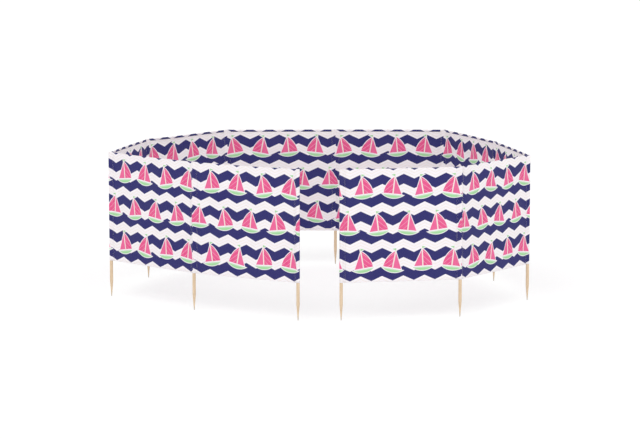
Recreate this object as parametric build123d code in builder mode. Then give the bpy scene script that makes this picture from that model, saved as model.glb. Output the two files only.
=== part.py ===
# Beach windbreak: ten cloth bays between eleven pointed stakes, set up as a ring with an entrance
from build123d import *
import math
import os

# Stakes
stake_count = 11
middle_stake = 6  # stands opposite the entrance, with the origin at its tip
stake_length = 1000
stake_diameter = 22
point_length = 105
tip_diameter = 4
top_edge_chamfer = 2

# Cloth bays
bay_pitch = 800  # from stake to stake
cloth_height = 750
cloth_thickness = 1.2
hem_width = 15
hem_thickness = 1.2
fold_rounding = 1.1  # of the two corners of each turned edge

# Cloth pockets that hold the stakes
pocket_clearance = 0.3
pocket_thickness = 1.2
pocket_taper = 5.5  # from the round of the pocket to where its two layers are sewn together
seam_width = 12  # of the two leaves sewn over each end of a bay
seam_clearance = 0.3

# Direction in which each bay leaves its stake, in degrees, 0 to the right and 90 to the back
bay_headings = [151, 138, 75, 47, 1, -1, -66, -77, -128, -170]

# Radii and heights that follow from the sizes above
stake_radius = stake_diameter / 2
pocket_inner = stake_radius + pocket_clearance
pocket_outer = pocket_inner + pocket_thickness
seam_start = pocket_outer + pocket_taper  # both from a stake's axis
seam_end = seam_start + seam_width
cloth_top = stake_length + pocket_clearance + pocket_thickness
cloth_bottom = cloth_top - cloth_height


def heading_vector(heading):
    """The unit vector along a heading, level with the ground."""
    angle = math.radians(heading)
    return Vector(math.cos(angle), math.sin(angle), 0)


def stake_places():
    """Where each stake's tip stands, found by walking the bays both ways from the middle stake."""
    places = {middle_stake: Vector(0, 0, 0)}
    for number in range(middle_stake, stake_count):
        places[number + 1] = places[number] + heading_vector(bay_headings[number - 1]) * bay_pitch
    for number in range(middle_stake, 1, -1):
        places[number - 1] = places[number] - heading_vector(bay_headings[number - 2]) * bay_pitch
    return places


def make_stake(place):
    """A round wooden stake turned to a long pencil point with a small blunt tip."""
    with BuildPart() as stake:
        with BuildSketch(Plane(place, x_dir=(1, 0, 0), z_dir=(0, -1, 0))):
            with BuildLine():
                Polyline(
                    (0, 0),
                    (tip_diameter / 2, 0),
                    (stake_radius, point_length),
                    (stake_radius, stake_length),
                    (0, stake_length),
                    close=True,
                )
            make_face()
        revolve(axis=Axis(place, (0, 0, 1)))
        top_edge = stake.edges().filter_by(GeomType.CIRCLE).sort_by(Axis.Z)[-1]
        chamfer(top_edge, top_edge_chamfer)
    return stake.part


def make_bay(place, heading):
    """One bay of cloth, with its top and bottom edges turned over to the inside and sewn down."""
    along = heading_vector(heading)
    outward = Vector(-along.Y, along.X, 0)
    foot = place + Vector(0, 0, cloth_bottom)
    # The cloth reaches in between the leaves of each pocket, and the hems stop at the leaves
    cloth_start = seam_start + seam_clearance
    tab_length = seam_end - cloth_start
    hem_offset = -(cloth_thickness + hem_thickness) / 2
    with BuildPart() as bay:
        with BuildSketch(Plane(foot + along * seam_end, x_dir=outward, z_dir=along)) as section:
            Rectangle(cloth_thickness, cloth_height, align=(Align.CENTER, Align.MIN))
            with Locations((hem_offset, hem_width / 2), (hem_offset, cloth_height - hem_width / 2)):
                Rectangle(hem_thickness, hem_width)
            levels = section.vertices().group_by(Axis.Y)
            fillet(levels[0] + levels[-1], fold_rounding)
        extrude(amount=bay_pitch - 2 * seam_end)
        for tab_start in (cloth_start, bay_pitch - seam_end):
            with BuildSketch(Plane(foot + along * tab_start, x_dir=outward, z_dir=along)):
                Rectangle(cloth_thickness, cloth_height, align=(Align.CENTER, Align.MIN))
            extrude(amount=tab_length)
    return bay.part


def sleeve_outline(radius, end_width, direction):
    """A circle round the stake, drawn in along straight tangents to a narrow end where the seam starts."""
    with BuildSketch() as outline:
        with BuildLine():
            CenterArc((0, 0), radius, 0, 360)
            Line((seam_start, -end_width / 2), (seam_start, end_width / 2))
        make_hull()
    return outline.sketch.rotate(Axis.Z, direction)


def make_pocket(place, directions):
    """A cloth sleeve round a stake, closed at the top, with two leaves sewn over the end of each bay."""
    seam_thickness = cloth_thickness + 2 * pocket_thickness
    with BuildPart() as pocket:
        with BuildSketch(Plane(place).offset(cloth_bottom)):
            for direction in directions:
                add(sleeve_outline(pocket_outer, seam_thickness, direction))
                with PolarLocations(seam_start, 1, start_angle=direction):
                    Rectangle(seam_width, seam_thickness, align=(Align.MIN, Align.CENTER))
            for direction in directions:
                add(sleeve_outline(pocket_inner, cloth_thickness, direction), mode=Mode.SUBTRACT)
                with PolarLocations(seam_start, 1, start_angle=direction):
                    Rectangle(seam_width, cloth_thickness, align=(Align.MIN, Align.CENTER),
                              mode=Mode.SUBTRACT)
        extrude(amount=cloth_height)
        with BuildSketch(Plane(place).offset(stake_length + pocket_clearance)):
            for direction in directions:
                add(sleeve_outline(pocket_outer, seam_thickness, direction))
        extrude(amount=pocket_thickness)
    return pocket.part


def leaf_directions(number):
    """The directions from a stake towards the bays beside it: two, or one at either end."""
    directions = []
    if number > 1:
        directions.append(bay_headings[number - 2] + 180)
    if number < stake_count:
        directions.append(bay_headings[number - 1])
    return directions


def write_piece(piece, name):
    piece.label = name
    export_step(piece, f"parts/{name}.step")


os.makedirs("parts", exist_ok=True)
places = stake_places()
for number, place in sorted(places.items()):
    write_piece(make_stake(place), f"stake_{number:02d}")
    write_piece(make_pocket(place, leaf_directions(number)), f"pocket_{number:02d}")
for number, heading in enumerate(bay_headings, start=1):
    write_piece(make_bay(places[number], heading), f"bay_{number:02d}")
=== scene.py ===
"""Beach windbreak: ten printed cloth bays on eleven pointed stakes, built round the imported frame."""

import math

import bmesh
import bpy
from bpy.props import FloatProperty, FloatVectorProperty, IntProperty, PointerProperty
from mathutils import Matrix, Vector, noise
from mathutils.bvhtree import BVHTree


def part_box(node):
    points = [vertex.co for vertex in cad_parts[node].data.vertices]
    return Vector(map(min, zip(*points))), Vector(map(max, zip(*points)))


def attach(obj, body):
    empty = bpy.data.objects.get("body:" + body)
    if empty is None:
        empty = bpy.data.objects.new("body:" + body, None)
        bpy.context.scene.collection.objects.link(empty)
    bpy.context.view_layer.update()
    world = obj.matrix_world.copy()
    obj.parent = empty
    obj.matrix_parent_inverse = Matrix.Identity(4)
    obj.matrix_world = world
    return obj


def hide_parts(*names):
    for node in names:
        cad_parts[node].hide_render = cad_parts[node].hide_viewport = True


bl_info = {
    "name": "Beach Windbreak",
    "version": (1, 0, 0),
    "blender": (4, 5, 0),
    "location": "View3D > Sidebar > Windbreak",
    "description": "Printed cloth, sewn pockets, hems, stitching and wooden stakes of a beach windbreak",
    "category": "Add Mesh",
}

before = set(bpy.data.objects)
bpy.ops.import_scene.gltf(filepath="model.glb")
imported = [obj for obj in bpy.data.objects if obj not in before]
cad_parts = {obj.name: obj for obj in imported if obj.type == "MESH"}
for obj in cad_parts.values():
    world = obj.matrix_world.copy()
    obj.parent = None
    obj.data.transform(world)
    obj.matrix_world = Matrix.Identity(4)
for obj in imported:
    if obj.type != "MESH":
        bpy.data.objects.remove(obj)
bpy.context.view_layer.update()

STAKE_NUMBERS = range(1, 12)
BAY_NUMBERS = range(1, 11)
MIDDLE_STAKE = 6  # opposite the entrance
BODY = "root"
PRINT_UV = "print"
INKS = ("Navy", "White", "Cream", "Pink", "Light Pink", "Green")
MM = 0.001
SLIVER = 0.1 * MM
UP = Vector((0, 0, 1))


def stake_place(number):
    """Where a stake stands, at the level of its tip."""
    low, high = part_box(f"stake_{number:02d}")
    middle = (low + high) / 2
    return Vector((middle.x, middle.y, low.z))


PLACES = {number: stake_place(number) for number in STAKE_NUMBERS}
STAKE_LOW, STAKE_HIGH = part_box("stake_06")
STAKE_RADIUS = (STAKE_HIGH.x - STAKE_LOW.x) / 2
BAY_LOW, BAY_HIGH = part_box("bay_06")
CLOTH_BOTTOM = BAY_LOW.z
CLOTH_TOP = BAY_HIGH.z
CLOTH_HEIGHT = CLOTH_TOP - CLOTH_BOTTOM
BAY_PITCH = (PLACES[MIDDLE_STAKE + 1] - PLACES[MIDDLE_STAKE]).length


def srgb(red, green, blue):
    """A colour given as screen values from 0 to 255, in the renderer's own linear values."""
    linear = []
    for value in (red, green, blue):
        share = value / 255
        linear.append(share / 12.92 if share <= 0.04045 else ((share + 0.055) / 1.055) ** 2.4)
    return (*linear, 1.0)


def color_setting(name, words, value):
    """A colour that the sidebar shows."""
    return FloatVectorProperty(name=name, description=words, subtype="COLOR", size=4,
                               min=0, max=1, default=value)


def length_setting(name, words, value):
    """A length that the sidebar shows, in metres."""
    return FloatProperty(name=name, description=words, unit="LENGTH", default=value, precision=4)


def angle_setting(name, words, degrees):
    """An angle that the sidebar shows, given here in degrees."""
    return FloatProperty(name=name, description=words, subtype="ANGLE", default=math.radians(degrees))


def number_setting(name, words, value):
    """A plain number that the sidebar shows."""
    return FloatProperty(name=name, description=words, default=value, precision=4)


class ClothSettings(bpy.types.PropertyGroup):
    """Sizes of the cloth, its seams and its stitches."""

    thickness: length_setting("Thickness", "Thickness of the woven cloth", 0.0005)
    pocket_ease: length_setting("Pocket ease", "Room between a stake and the cloth of its pocket", 0.0009)
    pocket_rise: length_setting("Pocket rise", "How far a pocket stands above the hems", 0.0012)
    rim_fold: length_setting("Rim fold", "Rounding of the folded top edge of a pocket", 0.0005)
    seam_start: length_setting("Seam start", "From a stake's middle to where its pocket is sewn flat", 0.018)
    seam_end: length_setting("Seam end", "From a stake's middle to the edge of the sewn leaf", 0.030)
    flap_cut: length_setting("Flap cut", "Height on the print where the pocket tops are cut", 0.735)
    layer_gap: length_setting("Layer gap", "Distance between layers of cloth in a seam", 0.0007)
    hem_rows: IntProperty(name="Hem rows", description="Rows of cloth turned over at an edge", default=2)
    hem_gap: length_setting("Hem gap", "Distance between the cloth and its turned hem", 0.0009)
    hem_stitch: length_setting("Hem stitch", "From the edge of the cloth to the stitches of its hem", 0.0115)
    grid: length_setting("Grid", "Spacing of the cloth's grid before it is smoothed", 0.015)
    settle_frames: IntProperty(name="Settle frames", description="Steps of the cloth solver", default=24)
    slack: number_setting("Slack", "Spare length of cloth as a share of a bay", 0.0003)
    breeze: number_setting("Breeze", "Sideways pull on the cloth in m/s2", 1.2)
    seam_inset: length_setting("Seam inset", "From the edges of a leaf to its rows of stitches", 0.0025)
    stitch_pitch: length_setting("Stitch pitch", "From one stitch to the next", 0.006)
    stitch_length: length_setting("Stitch length", "Length of a stitch", 0.0044)
    thread: length_setting("Thread", "Thickness of the sewing thread", 0.0006)
    thread_light: color_setting("Thread light", "Paler shade of the sewing thread", srgb(244, 238, 232))
    thread_dark: color_setting("Thread dark", "Deeper shade of the sewing thread", srgb(214, 206, 200))
    threads: number_setting("Threads", "Threads of the weave in a metre", 1100)
    weave_height: length_setting("Weave height", "Height of the threads of the weave", 0.00012)
    fine_waves: length_setting("Fine waves", "Height of the finest waves of the cloth", 0.009)
    fine_pulls: length_setting("Fine pulls", "Height of the finest pulls beside the seams", 0.003)
    waves: length_setting("Waves", "Height of the soft waves across a bay", 0.005)
    wave_fade: length_setting("Wave fade", "How far from a seam the waves reach their full height", 0.12)
    pulls: length_setting("Pulls", "Height of the short folds that run in from the seams", 0.0028)
    pull_fade: length_setting("Pull fade", "How far the short folds run into the cloth", 0.08)


class PrintSettings(bpy.types.PropertyGroup):
    """Sizes and colours of the zigzag bands and the sailing boats."""

    band_pitch: length_setting("Band pitch", "Height from one navy band to the next", 0.122)
    band_width: length_setting("Band width", "Height of a navy band", 0.065)
    lowest_band: length_setting("Lowest band", "Low points of the bottom band above the cloth's edge", 0.006)
    zigzag_pitch: length_setting("Zigzag pitch", "Width of one zigzag", 0.1425)
    zigzag_rise: length_setting("Zigzag rise", "Height of one zigzag", 0.033)
    zigzag_start: length_setting("Zigzag start", "First low point from the end of a bay", 0.058)
    boat_pitch: length_setting("Boat pitch", "Width from one boat to the next", 0.2)
    boat_scale: number_setting("Boat scale", "Size of the boats", 1.3)
    boat_start: length_setting("Boat start", "Where the first boat stands", 0.045)
    boat_bob: length_setting("Boat bob", "How far a boat may stand above or below its row", 0.005)
    boat_heel: angle_setting("Boat heel", "Usual lean of a boat", 6)
    lowest_boat: length_setting("Lowest boat", "Height of the bottom row of boats", 0.115)
    show_through: number_setting("Show-through", "Share of white between the threads", 0.06)
    navy: color_setting("Navy", "Ink of the zigzag bands", srgb(42, 41, 106))
    white: color_setting("White", "Unprinted cloth", srgb(246, 241, 245))
    cream: color_setting("Cream", "Thin lines in the white bands and on the hulls", srgb(238, 226, 208))
    pink: color_setting("Pink", "Main sails", srgb(231, 82, 139))
    light_pink: color_setting("Light pink", "Fore sails", srgb(237, 108, 157))
    green: color_setting("Green", "Hulls and pennants", srgb(163, 217, 159))


class WoodSettings(bpy.types.PropertyGroup):
    """Colours of the bare softwood."""

    light: color_setting("Light", "Early wood", srgb(234, 212, 182))
    dark: color_setting("Dark", "Late wood", srgb(206, 178, 144))
    # The tip colour darkens the point towards its end
    tip: color_setting("Tip", "Darker, greyer end of the point", srgb(150, 138, 124))
    point_length: length_setting("Point length", "Length of the pencil point", 0.105)


class StudioSettings(bpy.types.PropertyGroup):
    """Camera, floor and lights."""

    camera_height: length_setting("Camera height", "Height of the camera above the tips", 3.281)
    camera_side: length_setting("Camera side", "Camera to the right of the middle stake", -0.114)
    camera_back: length_setting("Camera distance", "Camera in front of the middle stake", 20.0)
    camera_pitch: angle_setting("Pitch", "Camera tilt downwards", 8.385)
    focal_pixels: number_setting("Focal pixels", "Focal length in pixels", 2737)
    image_width: number_setting("Image width", "Width of the picture in pixels", 640)
    sky_strength: number_setting("Sky", "Strength of the even light from all sides", 0.78)
    key_strength: number_setting("Key", "Strength of the light from the front left", 0.7)
    fill_strength: number_setting("Fill", "Strength of the light from the front right", 0.42)
    floor_tone: color_setting("Floor", "Pale floor", srgb(250, 250, 250))
    floor_seen: color_setting("Seen floor", "Floor as the camera sees it, under its own white",
                              srgb(188, 188, 188))
    floor_white: number_setting("Floor white", "White that only a view of the floor shows", 0.56)


class ShaderSums:
    """Writes shader arithmetic as plain calls on one node tree."""

    def __init__(self, tree):
        self.tree = tree

    def node(self, kind, **settings):
        """A new node with some of its settings."""
        made = self.tree.nodes.new(kind)
        for name, value in settings.items():
            setattr(made, name, value)
        return made

    def put(self, socket, value):
        """Links a socket to another one, or gives it a plain value."""
        if isinstance(value, bpy.types.NodeSocket):
            self.tree.links.new(value, socket)
        elif value is not None:
            socket.default_value = value

    def do(self, operation, *values):
        """The result of one step of arithmetic."""
        made = self.node("ShaderNodeMath", operation=operation)
        for socket, value in zip(made.inputs, values):
            self.put(socket, value)
        return made.outputs[0]

    def add(self, a, b):
        return self.do("ADD", a, b)

    def sub(self, a, b):
        return self.do("SUBTRACT", a, b)

    def mul(self, a, b):
        return self.do("MULTIPLY", a, b)

    def blend(self, a, b, share):
        """Two values in one, with so much of the second."""
        return self.add(self.mul(a, 1 - share), self.mul(b, share))

    def inside(self, distance, soft=0.0006):
        """1 where a signed distance is negative, with a soft edge."""
        ramp = self.node("ShaderNodeMapRange", clamp=True)
        self.put(ramp.inputs["Value"], distance)
        self.put(ramp.inputs["From Min"], soft)
        self.put(ramp.inputs["From Max"], -soft)
        return ramp.outputs["Result"]

    def range(self, value, low, high, to_low=0.0, to_high=1.0):
        """A value carried over from one range to another, and held within it."""
        ramp = self.node("ShaderNodeMapRange", clamp=True)
        for name, number in zip(("Value", "From Min", "From Max", "To Min", "To Max"),
                                (value, low, high, to_low, to_high)):
            self.put(ramp.inputs[name], number)
        return ramp.outputs["Result"]

    def largest(self, *values):
        result = values[0]
        for value in values[1:]:
            result = self.do("MAXIMUM", result, value)
        return result

    def smallest(self, *values):
        result = values[0]
        for value in values[1:]:
            result = self.do("MINIMUM", result, value)
        return result

    def circle(self, x, y, center_x, center_y, radius):
        """Signed distance to a circle."""
        dx = self.sub(x, center_x)
        dy = self.sub(y, center_y)
        reach = self.do("SQRT", self.add(self.mul(dx, dx), self.mul(dy, dy)))
        return self.sub(reach, radius)

    def side(self, x, y, start, end):
        """Signed distance to the line from start to end, positive on its right-hand side."""
        along_x, along_y = end[0] - start[0], end[1] - start[1]
        length = math.hypot(along_x, along_y)
        normal_x, normal_y = along_y / length, -along_x / length
        shifted = self.add(self.mul(x, normal_x), self.mul(y, normal_y))
        return self.sub(shifted, start[0] * normal_x + start[1] * normal_y)

    def mix(self, factor, a, b):
        """A blend of two colours, all of the second one where the factor is 1."""
        made = self.node("ShaderNodeMix", data_type="RGBA")
        self.put(made.inputs["Factor"], factor)
        self.put(made.inputs[6], a)
        self.put(made.inputs[7], b)
        return made.outputs[2]

    def stretched(self, vector, factors):
        """A vector with each of its coordinates multiplied by a number of its own."""
        made = self.node("ShaderNodeVectorMath", operation="MULTIPLY")
        self.put(made.inputs[0], vector)
        self.put(made.inputs[1], factors)
        return made.outputs[0]

    def noise(self, vector, scale, detail=2.0, roughness=0.5):
        """Soft noise, mostly between 0.3 and 0.7."""
        made = self.node("ShaderNodeTexNoise")
        self.put(made.inputs["Vector"], vector)
        self.put(made.inputs["Scale"], scale)
        self.put(made.inputs["Detail"], detail)
        self.put(made.inputs["Roughness"], roughness)
        return made.outputs["Fac"]


def new_group(name, inputs, outputs):
    """An empty shader group with named sockets, its arithmetic, its inputs and its output node."""
    group = bpy.data.node_groups.new(name, "ShaderNodeTree")
    for socket_name, kind in inputs.items():
        group.interface.new_socket(name=socket_name, in_out="INPUT", socket_type=kind)
    for socket_name, kind in outputs.items():
        group.interface.new_socket(name=socket_name, in_out="OUTPUT", socket_type=kind)
    sums = ShaderSums(group)
    entry = sums.node("NodeGroupInput")
    result = sums.node("NodeGroupOutput")
    return group, sums, entry.outputs, result.inputs


def boat_group():
    """Masks of one small sailing boat, drawn about the middle of its waterline, in millimetres."""
    number = "NodeSocketFloat"
    parts = ("Outline", "Hull", "Stripe", "Main Sail", "Fore Sail", "Mast", "Pennant")
    group, sums, given, result = new_group(
        "sailing_boat", {"X": number, "Y": number}, {part: number for part in parts})
    x, y = given["X"], given["Y"]
    soft_edge, outline_width = 0.5, 3.5
    deck, stripe_depth = -20, 5
    keel_arc = (0, 54, 91)  # middle and radius
    sail_foot, mast_gap = -14, 3
    main_sail_arc = (-73, -26, 123)
    fore_sail_top, fore_sail_corner = (-mast_gap, 66), (-45, sail_foot)
    half_mast, mast_top = 1.6, 86
    pennant_top, pennant_tip, pennant_foot = (0, 87), (19, 81), (0, 75)

    hull = sums.largest(sums.circle(x, y, *keel_arc), sums.sub(y, deck))
    stripe = sums.largest(hull, sums.sub(deck - stripe_depth, y))
    below_foot = sums.sub(sail_foot, y)
    main_sail = sums.largest(sums.sub(mast_gap, x), below_foot, sums.circle(x, y, *main_sail_arc))
    fore_sail = sums.largest(sums.add(x, mast_gap), below_foot,
                             sums.side(x, y, fore_sail_top, fore_sail_corner))
    beside_mast = sums.sub(sums.do("ABSOLUTE", x), half_mast)
    mast = sums.largest(beside_mast, sums.sub(y, mast_top), sums.sub(deck, y))
    pennant = sums.largest(sums.sub(0, x), sums.side(x, y, pennant_tip, pennant_top),
                           sums.side(x, y, pennant_foot, pennant_tip))
    outline = sums.sub(sums.smallest(hull, main_sail, fore_sail, mast, pennant), outline_width)
    for name, shape in zip(parts, (outline, hull, stripe, main_sail, fore_sail, mast, pennant)):
        sums.put(result[name], sums.inside(shape, soft_edge))
    return group


def print_group(boat):
    """Colours of the printed cloth from a place on the bay, in metres."""
    number, color, vector = "NodeSocketFloat", "NodeSocketColor", "NodeSocketVector"
    group, sums, given, result = new_group(
        "cloth_print", {"Place": vector, **{ink: color for ink in INKS}}, {"Color": color, "Ink": number})
    settings = bpy.context.scene.windbreak_print
    split = sums.node("ShaderNodeSeparateXYZ")
    sums.put(split.inputs[0], given["Place"])
    along, height = split.outputs[0], split.outputs[1]

    # Zigzag bands, repeated up the cloth
    turns = sums.mul(sums.sub(along, settings.zigzag_start), 1 / settings.zigzag_pitch)
    saw = sums.sub(sums.mul(sums.do("FRACT", turns), 2), 1)
    zigzag = sums.mul(sums.sub(1, sums.do("ABSOLUTE", saw)), settings.zigzag_rise)
    level = sums.sub(sums.sub(height, zigzag), settings.lowest_band)
    in_band = sums.mul(sums.do("FRACT", sums.mul(level, 1 / settings.band_pitch)), settings.band_pitch)
    half_band = settings.band_width / 2
    from_band = sums.do("ABSOLUTE", sums.sub(in_band, half_band))
    navy = sums.inside(sums.sub(from_band, half_band))
    # Two thin cream lines part each white band in three
    half_line, line_blur, line_strength = 1.6 * MM, 0.8 * MM, 0.75
    white_width = settings.band_pitch - settings.band_width
    from_white = sums.do("ABSOLUTE", sums.sub(in_band, settings.band_width + white_width / 2))
    from_line = sums.do("ABSOLUTE", sums.sub(from_white, white_width / 6))
    cream_line = sums.mul(sums.inside(sums.sub(from_line, half_line), line_blur), line_strength)
    patch = sums.mix(cream_line, given["White"], given["Cream"])
    patch = sums.mix(navy, patch, given["Navy"])

    # Boats in rows, each row shifted by half a boat pitch, every other boat turned round
    row_pitch = 2 * settings.band_pitch
    rows = sums.mul(sums.sub(height, settings.lowest_boat - settings.band_pitch), 1 / row_pitch)
    row = sums.do("FLOOR", rows)
    drawn_size = MM * settings.boat_scale
    boat_y = sums.mul(sums.sub(sums.sub(rows, row), 0.5), row_pitch / drawn_size)
    row_shift = sums.mul(sums.do("FLOORED_MODULO", row, 2), 0.5)
    columns = sums.add(sums.mul(sums.sub(along, settings.boat_start), 1 / settings.boat_pitch), row_shift)
    column = sums.do("FLOOR", columns)
    boat_x = sums.mul(sums.sub(sums.sub(columns, column), 0.5), settings.boat_pitch / drawn_size)
    turn = sums.sub(1, sums.mul(sums.do("FLOORED_MODULO", sums.add(column, row), 2), 2))
    boat_x = sums.mul(boat_x, turn)
    chance = sums.node("ShaderNodeTexWhiteNoise", noise_dimensions="2D")
    which = sums.node("ShaderNodeCombineXYZ")
    sums.put(which.inputs[0], column)
    sums.put(which.inputs[1], row)
    sums.put(chance.inputs["Vector"], which.outputs[0])
    throw = sums.sub(chance.outputs["Value"], 0.5)
    boat_y = sums.add(boat_y, sums.mul(throw, 2 * settings.boat_bob / drawn_size))
    heel_spread = 1.6
    heel = sums.mul(sums.add(1, sums.mul(throw, heel_spread)), settings.boat_heel)
    lean, upright = sums.do("SINE", heel), sums.do("COSINE", heel)
    turned_x = sums.add(sums.mul(boat_x, upright), sums.mul(boat_y, lean))
    turned_y = sums.sub(sums.mul(boat_y, upright), sums.mul(boat_x, lean))
    drawn = sums.node("ShaderNodeGroup", node_tree=boat)
    sums.put(drawn.inputs["X"], turned_x)
    sums.put(drawn.inputs["Y"], turned_y)

    # Sail panels have faint seams and an uneven wash of ink
    panel_width, wash_scale = 26, 34
    panel = sums.do("FRACT", sums.mul(sums.add(turned_y, turned_x), 1 / panel_width))
    from_seam = sums.do("ABSOLUTE", sums.sub(panel, 0.5))
    half_seam, seam_blur, seam_strength = 0.035, 0.02, 0.55  # the first two as shares of a panel
    seam = sums.mul(sums.inside(sums.sub(from_seam, half_seam), seam_blur), seam_strength)
    wash = sums.range(sums.noise(given["Place"], wash_scale, 3.0), 0.35, 0.68)
    main_ink = sums.mix(sums.mul(wash, 0.5), given["Pink"], given["Light Pink"])
    fore_ink = sums.mix(sums.mul(wash, 0.4), given["Light Pink"], given["Pink"])
    layers = (
        (drawn.outputs["Outline"], given["White"]),
        (drawn.outputs["Mast"], given["Cream"]),
        (drawn.outputs["Main Sail"], sums.mix(seam, main_ink, given["White"])),
        (drawn.outputs["Fore Sail"], fore_ink),
        (drawn.outputs["Hull"], given["Green"]),
        (drawn.outputs["Stripe"], sums.mix(0.35, given["Green"], given["White"])),
        (drawn.outputs["Pennant"], given["Green"]),
    )
    for mask, ink in layers:
        patch = sums.mix(mask, patch, ink)
    sums.put(result["Color"], patch)
    sums.put(result["Ink"], navy)
    return group


def weave_group():
    """A plain weave: thread height, and a tone of painted shade in the dips between the threads mixed with
    uneven dye, both about 0 to 1, from a place in metres.
    """
    number, vector = "NodeSocketFloat", "NodeSocketVector"
    group, sums, given, result = new_group(
        "plain_weave", {"Place": vector, "Threads": number}, {"Height": number, "Dip Shade And Dye": number})
    split = sums.node("ShaderNodeSeparateXYZ")
    sums.put(split.inputs[0], given["Place"])
    across = sums.do("SINE", sums.mul(sums.mul(split.outputs[0], given["Threads"]), math.pi))
    upwards = sums.do("SINE", sums.mul(sums.mul(split.outputs[1], given["Threads"]), math.pi))
    warp = sums.do("ABSOLUTE", across)
    weft = sums.do("ABSOLUTE", upwards)
    # Warp lies over weft in every other cell
    warp_over = sums.range(sums.mul(across, upwards), -0.1, 0.1)
    warp_bead = sums.mul(warp, sums.do("SQRT", weft))
    weft_bead = sums.mul(weft, sums.do("SQRT", warp))
    beads = sums.add(weft_bead, sums.mul(warp_over, sums.sub(warp_bead, weft_bead)))
    # Thick and thin places along the threads, and broad patches where the cloth took the dye unevenly
    slub_scale, cloud_scale = 180, 6
    slub = sums.noise(given["Place"], slub_scale, 4.0, 0.6)
    cloudy = sums.noise(given["Place"], cloud_scale, 3.0)
    uneven = sums.blend(slub, cloudy, 0.55)
    sums.put(result["Height"], sums.blend(beads, slub, 0.3))
    # Painted shade: the tone is darker in the dips between the threads, and mixed with the uneven dye
    sums.put(result["Dip Shade And Dye"], sums.blend(beads, uneven, 0.5))
    return group


def crease_group():
    """Soft waves of hanging cloth, and short pulls beside its seams, as a height in metres."""
    number, vector = "NodeSocketFloat", "NodeSocketVector"
    group, sums, given, result = new_group(
        "soft_creases", {"Place": vector, "Waves": number, "Pulls": number}, {"Height": number})
    split = sums.node("ShaderNodeSeparateXYZ")
    sums.put(split.inputs[0], given["Place"])
    along = split.outputs[0]
    wave_scale, pulls_in_metre = 6, (9, 48, 1)
    pulls_start, pulls_end = 0.02, 0.22
    waves = sums.noise(given["Place"], wave_scale, 2.0, 0.4)
    pulls = sums.noise(sums.stretched(given["Place"], pulls_in_metre), 1, 1.5)
    from_seam = sums.smallest(along, sums.sub(BAY_PITCH, along))
    near_seam = sums.range(from_seam, pulls_start, pulls_end, 1, 0)
    pulled = sums.mul(sums.mul(pulls, near_seam), given["Pulls"])
    sums.put(result["Height"], sums.add(sums.mul(waves, given["Waves"]), pulled))
    return group


def grain_group():
    """Softwood grain that runs up a stake, from object coordinates in metres."""
    number, color, vector = "NodeSocketFloat", "NodeSocketColor", "NodeSocketVector"
    group, sums, given, result = new_group(
        "wood_grain", {"Place": vector, "Light": color, "Dark": color},
        {"Color": color, "Height": number})

    def streaks(width, length, detail):
        return sums.noise(sums.stretched(given["Place"], (1 / width, 1 / width, 1 / length)), 1, detail)

    ring_count = 5
    rings = streaks(width=0.006, length=0.28, detail=1.5)
    fibers = streaks(width=0.0013, length=0.03, detail=3.0)
    bands = sums.range(sums.do("FRACT", sums.mul(rings, ring_count)), 0.15, 0.95)
    shade = sums.blend(bands, sums.range(fibers, 0.35, 0.7), 0.38)
    sums.put(result["Color"], sums.mix(shade, given["Light"], given["Dark"]))
    sums.put(result["Height"], sums.add(sums.mul(bands, 0.4), fibers))
    return group


def new_material(name):
    """A material with only a Principled BSDF, and its arithmetic."""
    material = bpy.data.materials.new(name)
    material.use_nodes = True
    tree = material.node_tree
    shader = tree.nodes["Principled BSDF"]
    return material, ShaderSums(tree), shader


def add_bump(sums, shader, height, strength, distance):
    """Fine relief from a height that changes over the surface."""
    bump = sums.node("ShaderNodeBump")
    bump.inputs["Strength"].default_value = strength
    bump.inputs["Distance"].default_value = distance
    sums.put(bump.inputs["Height"], height)
    sums.put(shader.inputs["Normal"], bump.outputs["Normal"])


def cloth_material():
    """Matt woven cloth with the zigzag and boat print."""
    settings = bpy.context.scene.windbreak_print
    cloth = bpy.context.scene.windbreak_cloth
    material, sums, shader = new_material("zigzag_cloth")
    place = sums.node("ShaderNodeUVMap", uv_map=PRINT_UV).outputs["UV"]
    ink = sums.node("ShaderNodeGroup", node_tree=print_group(boat_group()))
    sums.put(ink.inputs["Place"], place)
    for name in INKS:
        ink.inputs[name].default_value = getattr(settings, name.lower().replace(" ", "_"))
    weave = sums.node("ShaderNodeGroup", node_tree=weave_group())
    sums.put(weave.inputs["Place"], place)
    weave.inputs["Threads"].default_value = cloth.threads
    creases = sums.node("ShaderNodeGroup", node_tree=crease_group())
    sums.put(creases.inputs["Place"], place)
    creases.inputs["Waves"].default_value = cloth.fine_waves
    creases.inputs["Pulls"].default_value = cloth.fine_pulls
    # The ink leaves a little white where the threads dip
    unprinted = sums.range(weave.outputs["Dip Shade And Dye"], 0.15, 0.55, settings.show_through, 0)
    printed = sums.mix(unprinted, ink.outputs["Color"], settings.white)
    # Painted shade: the colour is darker where the threads dip and lighter on their tops, and also varies
    # with the uneven dye
    darkest, lightest = 0.9, 1.05
    shaded = sums.node("ShaderNodeVectorMath", operation="SCALE")
    sums.put(shaded.inputs[0], printed)
    sums.put(shaded.inputs["Scale"], sums.range(weave.outputs["Dip Shade And Dye"], 0.1, 0.8, darkest, lightest))
    sums.put(shader.inputs["Base Color"], shaded.outputs[0])
    rough_cloth, rough_ink = 0.9, 0.8
    sums.put(shader.inputs["Roughness"], sums.range(ink.outputs["Ink"], 0, 1, rough_cloth, rough_ink))
    shader.inputs["Specular IOR Level"].default_value = 0.15
    shader.inputs["Sheen Weight"].default_value = 0.04
    relief = sums.add(creases.outputs["Height"], sums.mul(weave.outputs["Height"], cloth.weave_height))
    add_bump(sums, shader, relief, 1.0, 1.0)
    return material


def thread_material():
    """Off-white sewing thread with a fine twist."""
    settings = bpy.context.scene.windbreak_cloth
    material, sums, shader = new_material("sewing_thread")
    place = sums.node("ShaderNodeTexCoord").outputs["Object"]
    twist_scale = 900
    tone = sums.noise(place, twist_scale, 1.0)
    sums.put(shader.inputs["Base Color"], sums.mix(tone, settings.thread_light, settings.thread_dark))
    shader.inputs["Roughness"].default_value = 0.7
    return material


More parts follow.
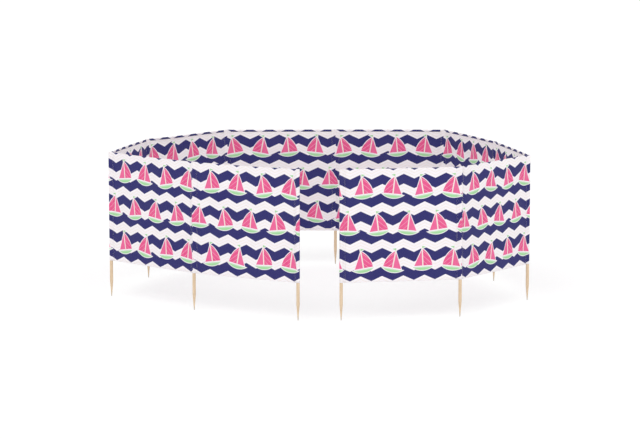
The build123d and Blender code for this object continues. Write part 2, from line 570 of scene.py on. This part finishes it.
def wood_material():
    """Bare softwood, with the marks of the cutter, and darker and greyer towards the tip of the point."""
    settings = bpy.context.scene.windbreak_wood
    material, sums, shader = new_material("bare_pine")
    place = sums.node("ShaderNodeTexCoord").outputs["Object"]
    grain = sums.node("ShaderNodeGroup", node_tree=grain_group())
    sums.put(grain.inputs["Place"], place)
    grain.inputs["Light"].default_value = settings.light
    grain.inputs["Dark"].default_value = settings.dark
    split = sums.node("ShaderNodeSeparateXYZ")
    sums.put(split.inputs[0], place)
    height = split.outputs[2]
    # The point turns darker and greyer towards its tip, with a wobbly edge
    wobble_scale, wobble_height = 60, 0.03
    grey_full, grey_gone, grey_strength = 0.012, 0.05, 0.85
    edge_wobble = sums.mul(sums.noise(place, wobble_scale, 3.0), wobble_height)
    greyed_to_tip = sums.range(sums.add(height, edge_wobble), grey_full, grey_gone, grey_strength, 0)
    sums.put(shader.inputs["Base Color"], sums.mix(greyed_to_tip, grain.outputs["Color"], settings.tip))
    sums.put(shader.inputs["Roughness"], sums.range(grain.outputs["Height"], 0.3, 1.2, 0.55, 0.75))
    shader.inputs["Specular IOR Level"].default_value = 0.3
    cut_pitch, cut_fade = 0.0021, 0.004
    cut_height, relief, depth = 0.35, 0.35, 0.0004
    on_point = sums.range(height, settings.point_length, settings.point_length - cut_fade)
    cuts = sums.mul(sums.do("SINE", sums.mul(height, math.tau / cut_pitch)), on_point)
    add_bump(sums, shader, sums.add(grain.outputs["Height"], sums.mul(cuts, cut_height)), relief, depth)
    return material


def new_piece(name, shape, material):
    """Turns a bmesh into a smooth-shaded object in the scene."""
    mesh = bpy.data.meshes.new(name)
    shape.to_mesh(mesh)
    shape.free()
    piece = bpy.data.objects.new(name, mesh)
    bpy.context.scene.collection.objects.link(piece)
    mesh.materials.append(material)
    mesh.shade_smooth()
    return piece


def bay_directions(number):
    """A bay's start, the direction along it and the direction to the outside of the ring."""
    start, end = PLACES[number], PLACES[number + 1]
    along = (end - start).normalized()
    outward = UP.cross(along)
    return start, along, outward


def keep_evaluated(piece):
    """Swaps a piece's mesh for what its modifiers make of it, and removes them."""
    bpy.context.view_layer.update()
    graph = bpy.context.evaluated_depsgraph_get()
    finished = bpy.data.meshes.new_from_object(piece.evaluated_get(graph), preserve_all_data_layers=True,
                                               depsgraph=graph)
    piece.modifiers.clear()
    old = piece.data
    piece.data = finished
    bpy.data.meshes.remove(old)
    finished.name = piece.name


def flat_cloth(number, settings):
    """A flat grid of cloth from seam to seam, with its place on the bay as its UV map."""
    start, along, outward = bay_directions(number)
    first = STAKE_RADIUS + settings.pocket_ease + settings.thickness
    seam = settings.seam_end
    free = BAY_PITCH - 2 * seam
    free_columns = round(free / settings.grid)
    rows = round(CLOTH_HEIGHT / settings.grid)
    columns = free_columns + 2
    # The solver starts from a slight ripple, which differs from bay to bay
    ripple_height, ripples_along, ripples_up = 0.002, 3.1, 2.3
    shape = bmesh.new()
    bmesh.ops.create_grid(shape, x_segments=columns, y_segments=rows, size=0.5)
    uv_layer = shape.loops.layers.uv.new(PRINT_UV)
    sewn = []
    for vert in shape.verts:
        column = round((vert.co.x + 0.5) * columns)
        row = round((vert.co.y + 0.5) * rows)
        if column == 0:
            reach = first
        elif column == columns:
            reach = BAY_PITCH - first
        else:
            reach = seam + free * (column - 1) / free_columns
        share = reach / BAY_PITCH
        lift = row / rows
        ripple = math.sin(math.pi * share) * math.sin(ripples_along * math.pi * share + 1.7 * number)
        ripple *= math.cos(ripples_up * math.pi * lift + 0.9 * number) * ripple_height
        if column <= 1 or column >= columns - 1:
            sewn.append(vert.index)
            ripple = 0
        vert.co = start + along * reach + outward * ripple + UP * (CLOTH_BOTTOM + lift * CLOTH_HEIGHT)
    for face in shape.faces:
        for loop in face.loops:
            reach = (loop.vert.co - start).dot(along)
            loop[uv_layer].uv = (BAY_PITCH - reach, loop.vert.co.z - CLOTH_BOTTOM)
    return shape, sewn


def let_settle(cloth, sewn, number, settings):
    """Runs the cloth solver with both ends held by their pockets, and keeps where the cloth comes to rest."""
    scene = bpy.context.scene
    _, _, outward = bay_directions(number)
    group = cloth.vertex_groups.new(name="sewn")
    group.add(sewn, 1.0, "REPLACE")
    solver = cloth.modifiers.new("Settle", "CLOTH")
    solver.settings.quality = 6
    solver.settings.mass = 0.05
    solver.settings.tension_stiffness = 120
    solver.settings.compression_stiffness = 60
    solver.settings.shear_stiffness = 12
    solver.settings.bending_stiffness = 0.6
    solver.settings.air_damping = 3
    solver.settings.vertex_group_mass = "sewn"
    solver.point_cache.frame_start = 1
    solver.point_cache.frame_end = settings.settle_frames
    # Slack and breeze differ from bay to bay
    solver.settings.shrink_min = -settings.slack * (1 + 0.5 * math.sin(2.4 * number))
    pull = settings.breeze * (0.6 + 0.4 * math.sin(1.3 * number))
    plain_gravity = scene.gravity.copy()
    free_fall = 9.81
    scene.gravity = outward * pull - UP * free_fall
    for step in range(1, settings.settle_frames + 1):
        scene.frame_set(step)
    keep_evaluated(cloth)
    scene.frame_set(1)
    scene.gravity = plain_gravity
    cloth.vertex_groups.clear()


def crease_cloth(shape, number, settings):
    """Adds soft waves across a bay, and short level folds where its stakes pull the cloth tight."""
    start, along, outward = bay_directions(number)
    waves_along, waves_up = 2.6, 3.4  # in a metre
    folds_along, folds_up = 5, 24
    for vert in shape.verts:
        reach = (vert.co - start).dot(along)
        from_seam = min(reach, BAY_PITCH - reach) - settings.seam_end
        if from_seam <= 0:
            continue
        wave = noise.noise(Vector((reach * waves_along, vert.co.z * waves_up, number * 3.1)))
        wave *= settings.waves * min(1, from_seam / settings.wave_fade)
        fold = noise.noise(Vector((reach * folds_along, vert.co.z * folds_up, number * 7.3)))
        fold *= settings.pulls * math.exp(-from_seam / settings.pull_fade) * min(1, from_seam / settings.grid)
        vert.co += outward * (wave + fold)


def thicken_cloth(piece, settings):
    """Gives a sheet the thickness of the woven cloth, half to each side."""
    thicken = piece.modifiers.new("Thickness", "SOLIDIFY")
    thicken.thickness = settings.thickness
    thicken.offset = 0


def smooth_row(settings):
    """Height of one row of the cloth's grid after it is smoothed."""
    return CLOTH_HEIGHT / (2 * round(CLOTH_HEIGHT / settings.grid))


def extrude_line(shape, line):
    """Extrudes a line of edges into new vertices, each with the one it comes from, faces and a new line."""
    made = bmesh.ops.extrude_edge_only(shape, edges=line)["geom"]
    fresh = {item for item in made if isinstance(item, bmesh.types.BMVert)}
    came_from = {}
    for vert in fresh:
        beside = (edge.other_vert(vert) for edge in vert.link_edges)
        came_from[vert] = next(each for each in beside if each not in fresh)
    faces = [item for item in made if isinstance(item, bmesh.types.BMFace)]
    edges = [item for item in made if isinstance(item, bmesh.types.BMEdge) and set(item.verts) <= fresh]
    return came_from, faces, edges


def put_in_order(shape):
    """Sorts edges and faces by their vertices, because an extrusion adds them in a new order on each run."""
    shape.verts.index_update()
    count = len(shape.verts)

    def rank(item):
        number = 0
        for index in sorted(vert.index for vert in item.verts)[:3]:
            number = number * count + index
        return number

    shape.edges.sort(key=rank)
    shape.faces.sort(key=rank)


def straight_in(vert, count):
    """The vertices that follow one on the edge of the cloth, straight in along the grid."""
    edge = next(each for each in vert.link_edges if not each.is_boundary)
    walked = [vert]
    for _ in range(count):
        vert = edge.other_vert(vert)
        walked.append(vert)
        beside = set(edge.link_faces)
        edge = next(each for each in vert.link_edges if not beside & set(each.link_faces))
    return walked


def turn_hem(shape, number, edge_height, settings):
    """Turns one long edge of the cloth, at a height on the print, over to the inside."""
    uv_layer = shape.loops.layers.uv[PRINT_UV]
    _, _, outward = bay_directions(number)
    reach = settings.seam_end - MM
    rim = {}
    for face in shape.faces:
        for loop in face.loops:
            place = loop[uv_layer].uv
            if abs(place.y - edge_height) < MM and reach < place.x < BAY_PITCH - reach:
                rim[loop.vert] = place.x
    line = [each for each in shape.edges if each.is_boundary and all(vert in rim for vert in each.verts)]
    source = {vert: vert for vert in rim}
    column = {vert: [row.co.copy() for row in straight_in(vert, settings.hem_rows)] for vert in rim}
    away = 1 if edge_height > CLOTH_HEIGHT / 2 else -1
    gap = -outward * settings.hem_gap
    fold_share = 0.4  # of the gap, past the edge of the cloth
    fold = gap / 2 + UP * away * settings.hem_gap * fold_share
    steps = [(0, fold), (0, gap)] + [(row, gap) for row in range(1, settings.hem_rows + 1)]
    unfolded = {vert: edge_height for vert in rim}
    for row, offset in steps:
        came_from, faces, line = extrude_line(shape, line)
        for vert, below in came_from.items():
            source[vert] = source[below]
            unfolded[vert] = edge_height + away * row * smooth_row(settings)
            vert.co = column[source[vert]][row] + offset
        for face in faces:
            for loop in face.loops:
                loop[uv_layer].uv = (rim[source[loop.vert]], unfolded[loop.vert])
    put_in_order(shape)


def leaf_angles(number):
    """The directions from a stake towards the bays beside it: back along the last bay, on along the next."""
    here = PLACES[number]
    back = PLACES.get(number - 1)
    on = PLACES.get(number + 1)
    back_angle = math.atan2(back.y - here.y, back.x - here.x) if back else None
    on_angle = math.atan2(on.y - here.y, on.x - here.x) if on else None
    return back_angle, on_angle


def turned(angle, along, aside):
    """A level step of so much along an angle and so much to its left."""
    return Vector((math.cos(angle) * along - math.sin(angle) * aside,
                   math.sin(angle) * along + math.cos(angle) * aside, 0))


def pocket_strips(number):
    """The layers of a pocket: direction and side of the leaf, and where the layer ends behind the stake."""
    back_angle, on_angle = leaf_angles(number)
    if back_angle is None or on_angle is None:
        angle = on_angle if back_angle is None else back_angle
        return [(angle, 1, angle + math.pi), (angle, -1, angle + math.pi)]
    # Halfway between the leaves, clockwise of the leaf that points back, lies the outside of the ring
    outer = back_angle - ((back_angle - on_angle) % math.tau) / 2
    return [(back_angle, -1, outer), (on_angle, 1, outer),
            (on_angle, -1, outer + math.pi), (back_angle, 1, outer + math.pi)]


def pocket_strip(angle, hand, last_angle, settings):
    """Points of one layer of a pocket in plan, from the edge of its leaf to the far side of the stake."""
    gap = settings.layer_gap
    radius = STAKE_RADIUS + settings.pocket_ease
    root = Vector((settings.seam_start, gap))
    wrap = math.atan2(root.y, root.x) + math.acos(radius / root.length)
    sweep = (hand * (last_angle - angle)) % math.tau
    arc_step = math.radians(14)
    points = [turned(angle, settings.seam_end, hand * gap),
              turned(angle, (settings.seam_end + settings.seam_start) / 2, hand * gap),
              turned(angle, settings.seam_start, hand * gap)]
    tangent = turned(angle + hand * wrap, radius, 0)
    points.append(points[-1].lerp(tangent, 0.5))
    turns = max(1, math.ceil((sweep - wrap) / arc_step))
    for turn in range(turns + 1):
        at = wrap + (sweep - wrap) * turn / turns
        points.append(turned(angle + hand * at, radius, 0))
    return points


def sew_pocket(number, settings):
    """Strips of cloth from each leaf round the stake, joined on its far side, and their whole width."""
    shape = bmesh.new()
    uv_layer = shape.loops.layers.uv.new(PRINT_UV)
    here = PLACES[number]
    height = CLOTH_HEIGHT + settings.pocket_rise
    rows = round(CLOTH_HEIGHT / settings.grid)
    width = 0
    for angle, hand, last_angle in pocket_strips(number):
        points = pocket_strip(angle, hand, last_angle, settings)
        from_back = angle == leaf_angles(number)[0]
        verts = [shape.verts.new(here + point + UP * CLOTH_BOTTOM) for point in points]
        line = [shape.edges.new(pair) for pair in zip(verts, verts[1:])]
        walked = [0.0]
        for first, second in zip(points, points[1:]):
            walked.append(walked[-1] + (second - first).length)
        width += walked[-1]
        reach = dict(zip(verts, walked))
        for row in range(rows):
            came_from, faces, line = extrude_line(shape, line)
            for vert, below in came_from.items():
                reach[vert] = reach[below]
            for face in faces:
                for loop in face.loops:
                    inner = settings.seam_end - reach[loop.vert]
                    lift = row + (loop.vert in came_from)
                    loop[uv_layer].uv = (inner if from_back else BAY_PITCH - inner, lift / rows * height)
            bmesh.ops.translate(shape, verts=list(came_from), vec=UP * height / rows)
    put_in_order(shape)
    bmesh.ops.remove_doubles(shape, verts=shape.verts, dist=SLIVER / 2)
    bmesh.ops.recalc_face_normals(shape, faces=shape.faces)
    return shape, width


def close_pocket(shape, settings):
    """Closes the open top of a pocket with a flap of cloth, folded over a rounded rim."""
    top = CLOTH_TOP + settings.pocket_rise - SLIVER
    rim = [each for each in shape.edges if each.is_boundary and all(vert.co.z > top for vert in each.verts)]
    ends = [vert for vert in shape.verts if sum(each in rim for each in vert.link_edges) == 1]
    # The two layers of each leaf are joined across its edge
    while ends:
        first = ends.pop()
        nearest = min(ends, key=lambda vert: (vert.co - first.co).length)
        ends.remove(nearest)
        shape.edges.new((first, nearest))
    top_edges = [each for each in shape.edges if all(vert.co.z > top for vert in each.verts)]
    flap = bmesh.ops.contextual_create(shape, geom=top_edges)["faces"][0]
    # The flap is cut from the white between two bands
    uv_layer = shape.loops.layers.uv[PRINT_UV]
    center = flap.calc_center_median()
    for loop in flap.loops:
        place = loop.vert.co - center
        loop[uv_layer].uv = (BAY_PITCH / 2 + place.x, settings.flap_cut + place.y)
    # The fold comes out clean only where flap and sides already face the same way
    bmesh.ops.recalc_face_normals(shape, faces=shape.faces)
    bmesh.ops.bevel(shape, geom=rim, affect="EDGES", offset=settings.rim_fold, offset_type="OFFSET",
                    segments=2, profile=0.5, material=-1)
    bmesh.ops.recalc_face_normals(shape, faces=shape.faces)


def new_seam():
    """An empty mesh of points, each with the direction of its stitch and the way it faces."""
    seam = bmesh.new()
    seam.verts.layers.float_vector.new("along")
    seam.verts.layers.float_vector.new("facing")
    return seam


def mark_stitch(seam, place, along, facing):
    """One point of a seam where a stitch will lie."""
    point = seam.verts.new(place)
    point[seam.verts.layers.float_vector["along"]] = along
    point[seam.verts.layers.float_vector["facing"]] = facing


def walk(points, first, step):
    """Places at even steps along a line of points, each with its direction."""
    places = []
    due = first
    for start, end in zip(points, points[1:]):
        length = (end - start).length
        while due < length:
            places.append((start.lerp(end, due / length), (end - start).normalized()))
            due += step
        due -= length
    return places


def stitch_tree(settings):
    """Geometry nodes that lay a short raised thread on each point of a seam."""
    group = bpy.data.node_groups.new("lay_stitches", "GeometryNodeTree")
    group.interface.new_socket(name="Geometry", in_out="INPUT", socket_type="NodeSocketGeometry")
    group.interface.new_socket(name="Geometry", in_out="OUTPUT", socket_type="NodeSocketGeometry")
    group.interface.new_socket(name="Material", in_out="INPUT", socket_type="NodeSocketMaterial")
    nodes, join = group.nodes, group.links.new
    entry = nodes.new("NodeGroupInput")
    result = nodes.new("NodeGroupOutput")
    bead = nodes.new("GeometryNodeMeshUVSphere")
    bead.inputs["Segments"].default_value = 5
    bead.inputs["Rings"].default_value = 3
    bead.inputs["Radius"].default_value = 0.5
    turn = nodes.new("FunctionNodeAxesToRotation")
    turn.primary_axis = "X"
    turn.secondary_axis = "Z"
    for axis, name in zip(turn.inputs, ("along", "facing")):
        kept = nodes.new("GeometryNodeInputNamedAttribute")
        kept.data_type = "FLOAT_VECTOR"
        kept.inputs["Name"].default_value = name
        join(kept.outputs["Attribute"], axis)
    lay = nodes.new("GeometryNodeInstanceOnPoints")
    flatness = 0.7
    lay.inputs["Scale"].default_value = (settings.stitch_length, settings.thread, settings.thread * flatness)
    join(entry.outputs["Geometry"], lay.inputs["Points"])
    join(bead.outputs["Mesh"], lay.inputs["Instance"])
    join(turn.outputs["Rotation"], lay.inputs["Rotation"])
    realize = nodes.new("GeometryNodeRealizeInstances")
    join(lay.outputs["Instances"], realize.inputs["Geometry"])
    coat = nodes.new("GeometryNodeSetMaterial")
    join(realize.outputs["Geometry"], coat.inputs["Geometry"])
    join(entry.outputs["Material"], coat.inputs["Material"])
    join(coat.outputs["Geometry"], result.inputs["Geometry"])
    return group


def sew(name, seam, settings):
    """Turns the points of a seam into one mesh of stitches."""
    thread = bpy.data.materials.get("sewing_thread") or thread_material()
    stitches = new_piece(name, seam, thread)
    tree = bpy.data.node_groups.get("lay_stitches") or stitch_tree(settings)
    laid = stitches.modifiers.new("Stitches", "NODES")
    laid.node_group = tree
    laid[tree.interface.items_tree["Material"].identifier] = thread
    keep_evaluated(stitches)
    stitches.data.shade_smooth()
    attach(stitches, BODY)
    return stitches


def hem_seams(cloth, number, settings):
    """Points of the rows of stitches along both hems of a bay, on the outside and on the inside."""
    seam = new_seam()
    surface = BVHTree.FromObject(cloth, bpy.context.evaluated_depsgraph_get())
    start, along, outward = bay_directions(number)
    clear = settings.seam_end + settings.stitch_pitch / 2
    count = int((BAY_PITCH - 2 * clear) / settings.stitch_pitch)
    stand_off = 0.1
    for height in (CLOTH_BOTTOM + settings.hem_stitch, CLOTH_TOP - settings.hem_stitch):
        for index in range(count + 1):
            reach = clear + (BAY_PITCH - 2 * clear) * index / count
            over = start + along * reach + UP * (height - start.z)
            for facing in (outward, -outward):
                place, normal, _, _ = surface.ray_cast(over + facing * stand_off, -facing)
                if place is None:
                    continue
                normal = normal if normal.dot(facing) > 0 else -normal
                mark_stitch(seam, place + normal * SLIVER, along, normal)
    return seam


def leaf_seams(number, settings):
    """Points of the two rows of stitches up each leaf of a pocket, on both of its faces."""
    seam = new_seam()
    here = PLACES[number]
    face_offset = settings.layer_gap + settings.thickness / 2 + SLIVER
    count = int((CLOTH_HEIGHT - 2 * settings.stitch_pitch) / settings.stitch_pitch)
    for angle in leaf_angles(number):
        if angle is None:
            continue
        for hand in (1, -1):
            facing = turned(angle, 0, hand)
            for reach in (settings.seam_start + settings.seam_inset, settings.seam_end - settings.seam_inset):
                foot = here + turned(angle, reach, hand * face_offset)
                for index in range(count + 1):
                    height = CLOTH_BOTTOM + settings.stitch_pitch * (index + 1)
                    mark_stitch(seam, Vector((foot.x, foot.y, height)), UP, facing)
    return seam


def end_seams(seam, number, settings):
    """Points of the rows of stitches round a pocket, level with those of the hems beside it."""
    here = PLACES[number]
    for angle, hand, last_angle in pocket_strips(number):
        points = pocket_strip(angle, hand, last_angle, settings)
        for place, along in walk(points, settings.stitch_pitch / 2, settings.stitch_pitch):
            facing = UP.cross(along) * -hand
            foot = here + place + facing * (settings.thickness / 2 + SLIVER)
            for height in (CLOTH_BOTTOM + settings.hem_stitch, CLOTH_TOP - settings.hem_stitch):
                mark_stitch(seam, Vector((foot.x, foot.y, height)), along, facing)


class WINDBREAK_OT_stakes(bpy.types.Operator):
    """Gives the pointed stakes their bare wood"""

    bl_idname = "windbreak.stakes"
    bl_label = "Stakes"

    def execute(self, context):
        wood = wood_material()
        for number in STAKE_NUMBERS:
            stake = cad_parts[f"stake_{number:02d}"]
            stake.data.materials.clear()
            stake.data.materials.append(wood)
        return {"FINISHED"}


class WINDBREAK_OT_bays(bpy.types.Operator):
    """Cuts, hangs and hems the ten bays of printed cloth"""

    bl_idname = "windbreak.bays"
    bl_label = "Cloth bays"

    def execute(self, context):
        settings = context.scene.windbreak_cloth
        printed = bpy.data.materials.get("zigzag_cloth") or cloth_material()
        for number in BAY_NUMBERS:
            shape, sewn = flat_cloth(number, settings)
            cloth = new_piece(f"cloth_bay_{number:02d}", shape, printed)
            let_settle(cloth, sewn, number, settings)
            smooth = cloth.modifiers.new("Smooth", "SUBSURF")
            smooth.levels = 1
            smooth.render_levels = 1
            smooth.uv_smooth = "NONE"
            smooth.boundary_smooth = "PRESERVE_CORNERS"
            keep_evaluated(cloth)
            shape = bmesh.new()
            shape.from_mesh(cloth.data)
            crease_cloth(shape, number, settings)
            for edge_height in (0, CLOTH_HEIGHT):
                turn_hem(shape, number, edge_height, settings)
            bmesh.ops.recalc_face_normals(shape, faces=shape.faces)
            shape.to_mesh(cloth.data)
            shape.free()
            cloth.data.shade_smooth()
            thicken_cloth(cloth, settings)
            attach(cloth, BODY)
            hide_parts(f"bay_{number:02d}")
            bpy.context.view_layer.update()
            stitches = sew(f"hem_stitches_{number:02d}", hem_seams(cloth, number, settings), settings)
        return {"FINISHED"}


class WINDBREAK_OT_pockets(bpy.types.Operator):
    """Sews the pockets that hold the stakes"""

    bl_idname = "windbreak.pockets"
    bl_label = "Stake pockets"

    def execute(self, context):
        settings = context.scene.windbreak_cloth
        printed = bpy.data.materials.get("zigzag_cloth") or cloth_material()
        for number in STAKE_NUMBERS:
            shape, width = sew_pocket(number, settings)
            close_pocket(shape, settings)
            pocket = new_piece(f"cloth_pocket_{number:02d}", shape, printed)
            thicken_cloth(pocket, settings)
            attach(pocket, BODY)
            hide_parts(f"pocket_{number:02d}")
            seam = leaf_seams(number, settings)
            end_seams(seam, number, settings)
            stitches = sew(f"pocket_stitches_{number:02d}", seam, settings)
        return {"FINISHED"}


def seen_directly(sums):
    """1 where the camera sees a surface, also mirrored or through glass, and 0 where it gives light."""
    path = sums.node("ShaderNodeLightPath")
    return sums.largest(*(path.outputs[f"Is {kind} Ray"] for kind in ("Camera", "Glossy", "Transmission")))


def lay_floor(settings):
    """A wide pale floor at the level of the tips, which the camera sees as white."""
    half_width, shift = 150, 60
    shape = bmesh.new()
    bmesh.ops.create_grid(shape, x_segments=2, y_segments=2, size=half_width)
    bmesh.ops.translate(shape, verts=shape.verts, vec=(0, shift, STAKE_LOW.z))
    material, sums, shader = new_material("pale_floor")
    seen = seen_directly(sums)
    sums.put(shader.inputs["Base Color"], sums.mix(seen, settings.floor_tone, settings.floor_seen))
    shader.inputs["Roughness"].default_value = 1
    shader.inputs["Specular IOR Level"].default_value = 0
    shader.inputs["Emission Color"].default_value = (1, 1, 1, 1)
    sums.put(shader.inputs["Emission Strength"], sums.mul(seen, settings.floor_white))
    floor = new_piece("floor", shape, material)


def light_evenly(scene, settings):
    """Even light from all sides, which the camera sees as white."""
    world = bpy.data.worlds.new("even_light")
    world.use_nodes = True
    background = world.node_tree.nodes["Background"]
    background.inputs["Color"].default_value = (1, 1, 1, 1)
    sky = ShaderSums(world.node_tree)
    sky.put(background.inputs["Strength"], sky.range(seen_directly(sky), 0, 1, settings.sky_strength, 1))
    scene.world = world


def hang_lamps(scene, settings):
    """Two soft lamps: name, direction of the light, strength and spread in degrees."""
    lamps = (
        ("key", (0.35, 0.75, -0.75), settings.key_strength, 50),
        ("fill", (-0.8, 0.6, -0.6), settings.fill_strength, 70),
    )
    for name, direction, strength, spread in lamps:
        light = bpy.data.lights.new(name, "SUN")
        light.energy = strength
        light.angle = math.radians(spread)
        lamp = bpy.data.objects.new(name, light)
        scene.collection.objects.link(lamp)
        lamp.rotation_euler = Vector(direction).to_track_quat("-Z", "Y").to_euler()


def place_camera(scene, settings):
    """The camera in front of the entrance, tilted down at the ring."""
    far_end = 400
    camera_data = bpy.data.cameras.new("camera")
    camera_data.sensor_fit = "HORIZONTAL"
    camera_data.lens = camera_data.sensor_width * settings.focal_pixels / settings.image_width
    camera_data.clip_end = far_end
    camera = bpy.data.objects.new("camera", camera_data)
    scene.collection.objects.link(camera)
    camera.location = PLACES[MIDDLE_STAKE] + Vector((
        settings.camera_side, -settings.camera_back, settings.camera_height))
    camera.rotation_euler = (math.radians(90) - settings.camera_pitch, 0, 0)
    scene.camera = camera


class WINDBREAK_OT_studio(bpy.types.Operator):
    """Sets up the pale floor, the soft lights and the camera"""

    bl_idname = "windbreak.studio"
    bl_label = "Studio"

    def execute(self, context):
        settings = context.scene.windbreak_studio
        context.scene.view_settings.view_transform = "Standard"
        lay_floor(settings)
        light_evenly(context.scene, settings)
        hang_lamps(context.scene, settings)
        place_camera(context.scene, settings)
        return {"FINISHED"}


class WINDBREAK_PT_sidebar(bpy.types.Panel):
    """Lists each operator with the sizes and colours that it uses"""

    bl_idname = "WINDBREAK_PT_sidebar"
    bl_label = "Windbreak"
    bl_space_type = "VIEW_3D"
    bl_region_type = "UI"
    bl_category = "Windbreak"

    def draw(self, context):
        scene = context.scene
        groups = (
            (scene.windbreak_studio, ("windbreak.studio",)),
            (scene.windbreak_wood, ("windbreak.stakes",)),
            (scene.windbreak_print, ()),
            (scene.windbreak_cloth, ("windbreak.bays", "windbreak.pockets")),
        )
        for settings, operators in groups:
            box = self.layout.box()
            for name in type(settings).__annotations__:
                box.prop(settings, name)
            for operator in operators:
                box.operator(operator)


CLASSES = (
    ClothSettings,
    PrintSettings,
    WoodSettings,
    StudioSettings,
    WINDBREAK_OT_stakes,
    WINDBREAK_OT_bays,
    WINDBREAK_OT_pockets,
    WINDBREAK_OT_studio,
    WINDBREAK_PT_sidebar,
)


def register():
    """Registers the classes and gives each scene its settings."""
    for each in CLASSES:
        bpy.utils.register_class(each)
    bpy.types.Scene.windbreak_cloth = PointerProperty(type=ClothSettings)
    bpy.types.Scene.windbreak_print = PointerProperty(type=PrintSettings)
    bpy.types.Scene.windbreak_wood = PointerProperty(type=WoodSettings)
    bpy.types.Scene.windbreak_studio = PointerProperty(type=StudioSettings)


def unregister():
    """Takes back what register did."""
    del bpy.types.Scene.windbreak_studio
    del bpy.types.Scene.windbreak_wood
    del bpy.types.Scene.windbreak_print
    del bpy.types.Scene.windbreak_cloth
    for each in reversed(CLASSES):
        bpy.utils.unregister_class(each)


def main():
    """Builds the stage and every piece round the frame."""
    register()
    bpy.ops.windbreak.studio()
    bpy.ops.windbreak.stakes()
    bpy.ops.windbreak.bays()
    bpy.ops.windbreak.pockets()


if __name__ == "__main__":
    main()
